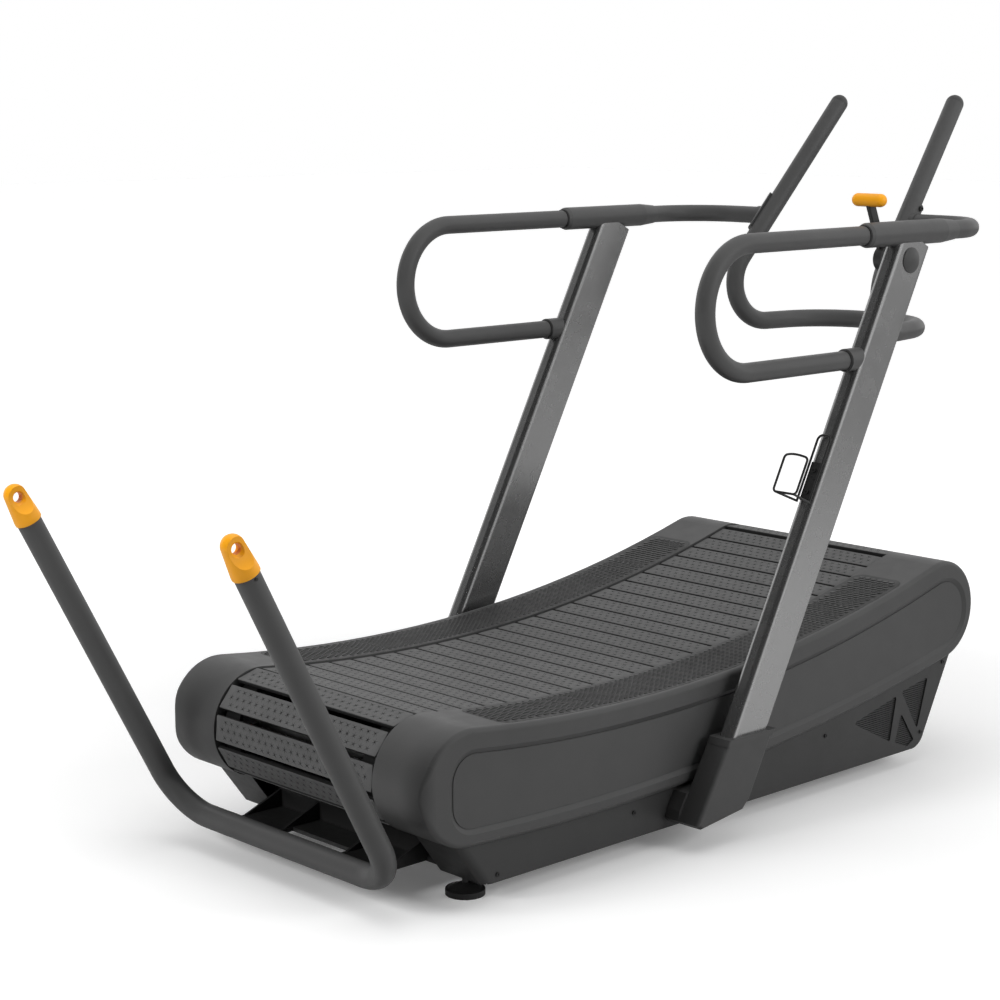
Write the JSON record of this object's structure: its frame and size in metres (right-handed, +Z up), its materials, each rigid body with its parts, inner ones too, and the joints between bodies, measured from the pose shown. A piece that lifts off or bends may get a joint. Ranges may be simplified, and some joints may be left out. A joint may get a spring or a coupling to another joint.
{
  "type": "curved manual treadmill",
  "caption": "Curved manual treadmill: slatted rubber belt on a concave deck, leaning uprights with looped hand rails, sled push bar, rear U-bar with anchor eyes and a brake lever.",
  "frame": {"origin": "middle of the machine's footprint box at floor level", "axes": "+Z up, +Y the way the runner faces, +X to the runner's right"},
  "size_m": [0.9325, 2.2716, 1.4925],
  "materials": {
    "shell_plastic": "fine spark-eroded moulded texture, satin",
    "skirt_sheet": "charcoal powder coat on sheet steel",
    "step_rubber": "raised chevron studs, matt",
    "tread_rubber": "embossed cross pattern, matt",
    "slat_alloy": "black anodised extrusion",
    "belt_rubber": "moulded toothed belt",
    "frame_paint": "black powder coat",
    "rail_paint": "charcoal fine-texture powder coat",
    "upright_paint": "satin grey metallic coat",
    "boot_plastic": "moulded, fine texture",
    "yellow_plastic": "satin yellow moulding",
    "lever_steel": "black coat",
    "bearing_steel": "zinc-plated or ground steel",
    "roller_alloy": "turned",
    "cable_black": "smooth sheath",
    "cage_wire": "black coated wire",
    "foot_black": "moulded pad on a stud",
    "wheel_rubber": "solid tyre"
  },
  "bodies": {
    "frame": {"anchor_cap_left": "yellow_plastic", "anchor_cap_right": "yellow_plastic", "bearing_axles": "bearing_steel", "boot_left": "boot_plastic", "boot_right": "boot_plastic", "bottle_cage": "cage_wire", "brake_cable": "cable_black", "brake_guide": "frame_paint", "cage_bracket": "cage_wire", "cross_tubes": "frame_paint", "end_cross_members": "frame_paint", "front_rail_left": "rail_paint", "front_rail_right": "rail_paint", "hitch": "frame_paint", "lever_housing": "boot_plastic", "link_belts": "belt_rubber", "loop_collars": "rail_paint", "outrigger": "frame_paint", "pivot_cap": "boot_plastic", "rail_sleeve_left": "rail_paint", "rail_sleeve_right": "rail_paint", "roller_bearings": "frame_paint", "saddles": "rail_paint", "side_loop_left": "rail_paint", "side_loop_right": "rail_paint", "side_panels": "shell_plastic", "side_rails": "frame_paint", "side_shell_left": "shell_plastic", "side_shell_right": "shell_plastic", "sills": "frame_paint", "skirt_left": "skirt_sheet", "skirt_right": "skirt_sheet", "slat_bars": "slat_alloy", "sled_bar": "rail_paint", "sled_bar_caps": "boot_plastic", "socket_screws": "cable_black", "step_grip_left": "step_rubber", "step_grip_right": "step_rubber", "support_bearings": "bearing_steel", "tread_pads": "tread_rubber", "u_bar": "rail_paint", "upright_left": "upright_paint", "upright_right": "upright_paint", "vent_grilles": "skirt_sheet", "wheel_brackets": "frame_paint"},
    "front_roller": {"front_axle": "bearing_steel", "front_roller": "roller_alloy", "brake_disc": "roller_alloy"},
    "rear_roller": {"rear_axle": "bearing_steel", "rear_roller": "roller_alloy"},
    "lever": {"lever_arm": "lever_steel", "lever_grip": "yellow_plastic"},
    "magnets": {"magnet_carrier": "roller_alloy", "brake_magnets": "bearing_steel"},
    "foot_rear_left": {"foot_rear_left": "foot_black"},
    "foot_rear_right": {"foot_rear_right": "foot_black"},
    "foot_front_left": {"foot_front_left": "foot_black"},
    "foot_front_right": {"foot_front_right": "foot_black"},
    "wheel_left": {"transport_wheel_left": "wheel_rubber"},
    "wheel_right": {"transport_wheel_right": "wheel_rubber"}
  },
  "joints": [
    {"name": "front_roller_spin", "type": "hinge", "parent": "frame", "child": "front_roller", "pos_m": [0, 0.818, 0.34653], "axis": [1, 0, 0], "continuous": true},
    {"name": "rear_roller_spin", "type": "hinge", "parent": "frame", "child": "rear_roller", "pos_m": [0, -0.632, 0.24063], "axis": [1, 0, 0], "continuous": true},
    {"name": "resistance_lever", "type": "hinge", "parent": "frame", "child": "lever", "pos_m": [0.385, 0.5694, 1.151], "axis": [-1, 0, 0], "range_deg": [0, 45]},
    {"name": "magnet_slide", "type": "slide", "parent": "frame", "child": "magnets", "axis": [0, 1, 0], "range_m": [0, 0.012]},
    {"name": "foot_screw_rear_left", "type": "slide", "parent": "frame", "child": "foot_rear_left", "axis": [0, 0, -1], "range_m": [0, 0.015]},
    {"name": "foot_screw_rear_right", "type": "slide", "parent": "frame", "child": "foot_rear_right", "axis": [0, 0, -1], "range_m": [0, 0.015]},
    {"name": "foot_screw_front_left", "type": "slide", "parent": "frame", "child": "foot_front_left", "axis": [0, 0, -1], "range_m": [0, 0.015]},
    {"name": "foot_screw_front_right", "type": "slide", "parent": "frame", "child": "foot_front_right", "axis": [0, 0, -1], "range_m": [0, 0.015]},
    {"name": "wheel_spin_left", "type": "hinge", "parent": "frame", "child": "wheel_left", "pos_m": [0, 0.722, 0.048], "axis": [1, 0, 0], "continuous": true},
    {"name": "wheel_spin_right", "type": "hinge", "parent": "frame", "child": "wheel_right", "pos_m": [0, 0.722, 0.048], "axis": [1, 0, 0], "continuous": true}
  ],
  "couplings": [
    {"joint": "rear_roller_spin", "follows": "front_roller_spin", "ratio": 1},
    {"joint": "magnet_slide", "follows": "resistance_lever", "m_per_rad": 0.015264}
  ]
}
